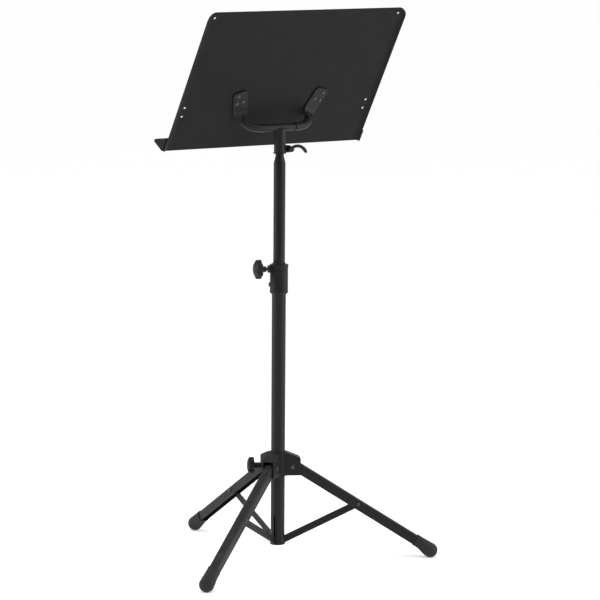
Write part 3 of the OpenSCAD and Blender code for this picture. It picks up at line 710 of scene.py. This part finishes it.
def rubber_boot(number):
    """A boot: lipped sleeve with grooves over the channel's end, swelling to a ball that is flat below."""
    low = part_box("foot_1")[0]
    place = leg_frame(number)
    ball = place.inverted() @ (turned("Z", LEG_AZIMUTHS[number - 1])
                               @ Vector((-low.y - FOOT_R * MM, 0, (FOOT_R - 0.4) * MM))) / MM
    start, swell, tangent = ball.x - BOOT_LENGTH, ball.x - BOOT_LENGTH + BOOT_SLEEVE, ball.x - 4
    sleeve_z = ball.z + LEG_RISE
    segments = 56
    angles = [2 * math.pi * k / segments for k in range(segments)]

    def ring(x, share, grow, ball_r):
        z = mix(sleeve_z, ball.z, share)
        reaches = [mix(sleeve_reach(a, LEG_HALF_W, LEG_HALF_H) + grow, ball_r, share) for a in angles]
        return [Vector((x, r * math.cos(a), z + r * math.sin(a))) for a, r in zip(angles, reaches)]

    tangent_r = math.sqrt(FOOT_R ** 2 - (ball.x - tangent) ** 2)
    rings = [[Vector((start + 5, 0, sleeve_z))], ring(start + 5, 0, 0.1, 0), ring(start + 0.4, 0, 0.15, 0),
             ring(start, 0, 0.5, 0), ring(start, 0, BOOT_WALL - 0.1, 0), ring(start + 0.4, 0, BOOT_WALL + 0.3, 0),
             ring(start + 1.6, 0, BOOT_WALL + 0.35, 0), ring(start + 2.1, 0, BOOT_WALL, 0)]
    steps = 44
    for k in range(1, steps + 1):
        x = mix(start + 2.6, tangent, k / steps)
        share = smooth((x - swell + 2) / (tangent - swell + 2)) ** 0.8
        nearest = min(abs(x - start - groove) for groove in GROOVES)
        groove = 0.45 * max(0.0, 1 - nearest / 0.9)
        rings.append(ring(x, share, BOOT_WALL - groove, tangent_r))
    for k in range(1, 15):
        turn = mix(math.asin((ball.x - tangent) / FOOT_R), -math.pi / 2, k / 15)
        rings.append(ring(ball.x - FOOT_R * math.sin(turn), 1, 0, FOOT_R * math.cos(turn)))
    rings.append([Vector((ball.x + FOOT_R, 0, ball.z))])
    placed = []
    for points in rings:
        world = [place @ (p * MM) for p in points]
        placed.append([Vector((p.x, p.y, max(p.z, 0.0))) for p in world])
    piece(f"rubber_boot_{number}", loft(placed), f"leg_set_{number}", "rubber", (f"foot_{number}",), crease=70)


# ---------------------------------------------------------------- studio

FLOOR_R = 60
SKY_STRENGTH = 0.85
SKY_DARK_FROM, SKY_DARK_FULL = 0.45, 0.95  # how nearly a direction points at the camera's side
SKY_DARK_SHARE = 0.05


def studio():
    """A white floor under an even sky that is dark on the camera's side."""
    bpy.ops.mesh.primitive_circle_add(vertices=96, radius=FLOOR_R, fill_type="NGON")
    floor = bpy.context.object
    floor.name = "studio_floor"
    floor.data.materials.append(studio_floor())
    world = bpy.data.worlds.new("studio")
    bpy.context.scene.world = world
    world.use_nodes = True
    tree = world.node_tree
    sky = tree.nodes["Background"]
    sky.inputs["Strength"].default_value = SKY_STRENGTH
    direction = tree.nodes.new("ShaderNodeTexCoord").outputs["Generated"]
    towards = tree.nodes.new("ShaderNodeVectorMath")
    towards.operation = "DOT_PRODUCT"
    towards.inputs[1].default_value = CAMERA_SIDE
    tree.links.new(direction, towards.inputs[0])
    shade = tree.nodes.new("ShaderNodeMapRange")
    shade.inputs["From Min"].default_value = SKY_DARK_FROM
    shade.inputs["From Max"].default_value = SKY_DARK_FULL
    shade.inputs["To Min"].default_value = 1.0
    shade.inputs["To Max"].default_value = SKY_DARK_SHARE
    tree.links.new(towards.outputs["Value"], shade.inputs["Value"])
    tree.links.new(shade.outputs[0], sky.inputs["Color"])


def soft_light(name, bearing, distance, height, width, tall, power):
    """A soft box that stands at a bearing from the stand and faces its middle."""
    light = bpy.data.lights.new(name, "AREA")
    light.shape = "RECTANGLE"
    light.size, light.size_y, light.energy = width, tall, power
    obj = bpy.data.objects.new(name, light)
    turn = math.radians(bearing)
    obj.location = (distance * math.cos(turn), distance * math.sin(turn), height)
    aim = Vector((0, 0, 0.65)) - obj.location
    obj.rotation_euler = aim.to_track_quat("-Z", "Y").to_euler()
    bpy.context.scene.collection.objects.link(obj)


CAMERA_PLACE = Vector((3.478, 5.157, 1.4835))
CAMERA_BEARING = 235.59
CAMERA_DIP = 8.42
CAMERA_ROLL = 0.38
CAMERA_LENS = 177.7
CAMERA_SIDE = Vector((CAMERA_PLACE.x, CAMERA_PLACE.y, 0.6)).normalized()


def camera():
    lens = bpy.data.cameras.new("camera")
    lens.lens = CAMERA_LENS
    lens.sensor_width = 36
    lens.clip_end = 200
    obj = bpy.data.objects.new("camera", lens)
    turn, dip, roll = map(math.radians, (CAMERA_BEARING, CAMERA_DIP, CAMERA_ROLL))
    forward = Vector((math.cos(turn) * math.cos(dip), math.sin(turn) * math.cos(dip), -math.sin(dip)))
    level = forward.cross(Vector((0, 0, 1))).normalized()
    up = level.cross(forward)
    right = math.cos(roll) * level + math.sin(roll) * up
    top = right.cross(forward)
    obj.matrix_world = Matrix.Translation(CAMERA_PLACE) @ Matrix((right, top, -forward)).transposed().to_4x4()
    bpy.context.scene.collection.objects.link(obj)
    bpy.context.scene.camera = obj


# ---------------------------------------------------------------- the stand

camera()
studio()
camera_side = CAMERA_BEARING - 180
soft_light("soft_left", camera_side - 85, distance=2.2, height=1.1, width=1.0, tall=2.4, power=22)
soft_light("soft_right", camera_side + 80, distance=2.2, height=1.1, width=1.0, tall=2.4, power=22)
soft_light("soft_top", camera_side, distance=1.2, height=3.4, width=2.5, tall=2.5, power=45)

dress_cad_nodes()
lobed_knob("height_knob", "collar_knob_turn", start=29, head_r=20.5, lobes=6, head_t=13, neck_r=6.2,
           neck_len=10, dome=4, body="collar_clamp", node="collar_knob")
lobed_knob("tripod_knob", "hub_knob_turn", start=32, head_r=18.5, lobes=8, head_t=12.5, neck_r=6.8,
           neck_len=19, dome=3, body="hub_clamp", node="hub_knob")
clamping_screw("height_screw", "collar_knob_turn", start=15, end=46, body="collar_clamp", node="collar_screw")
clamping_screw("tripod_screw", "hub_knob_turn", start=18.6, end=57, body="hub_clamp", node="hub_screw")
leg_rivets()
hub_arm_rivets()
yoke_arm(-1, "yoke_tube_left", "yoke_arm_left")
yoke_arm(1, "yoke_tube_right", "yoke_arm_right")
yoke_rivets()
clamp_lever()
weld_bead()
plug_ribs()
for leg_number in (1, 2, 3):
    rubber_boot(leg_number)

bpy.context.scene.view_settings.view_transform = "Standard"
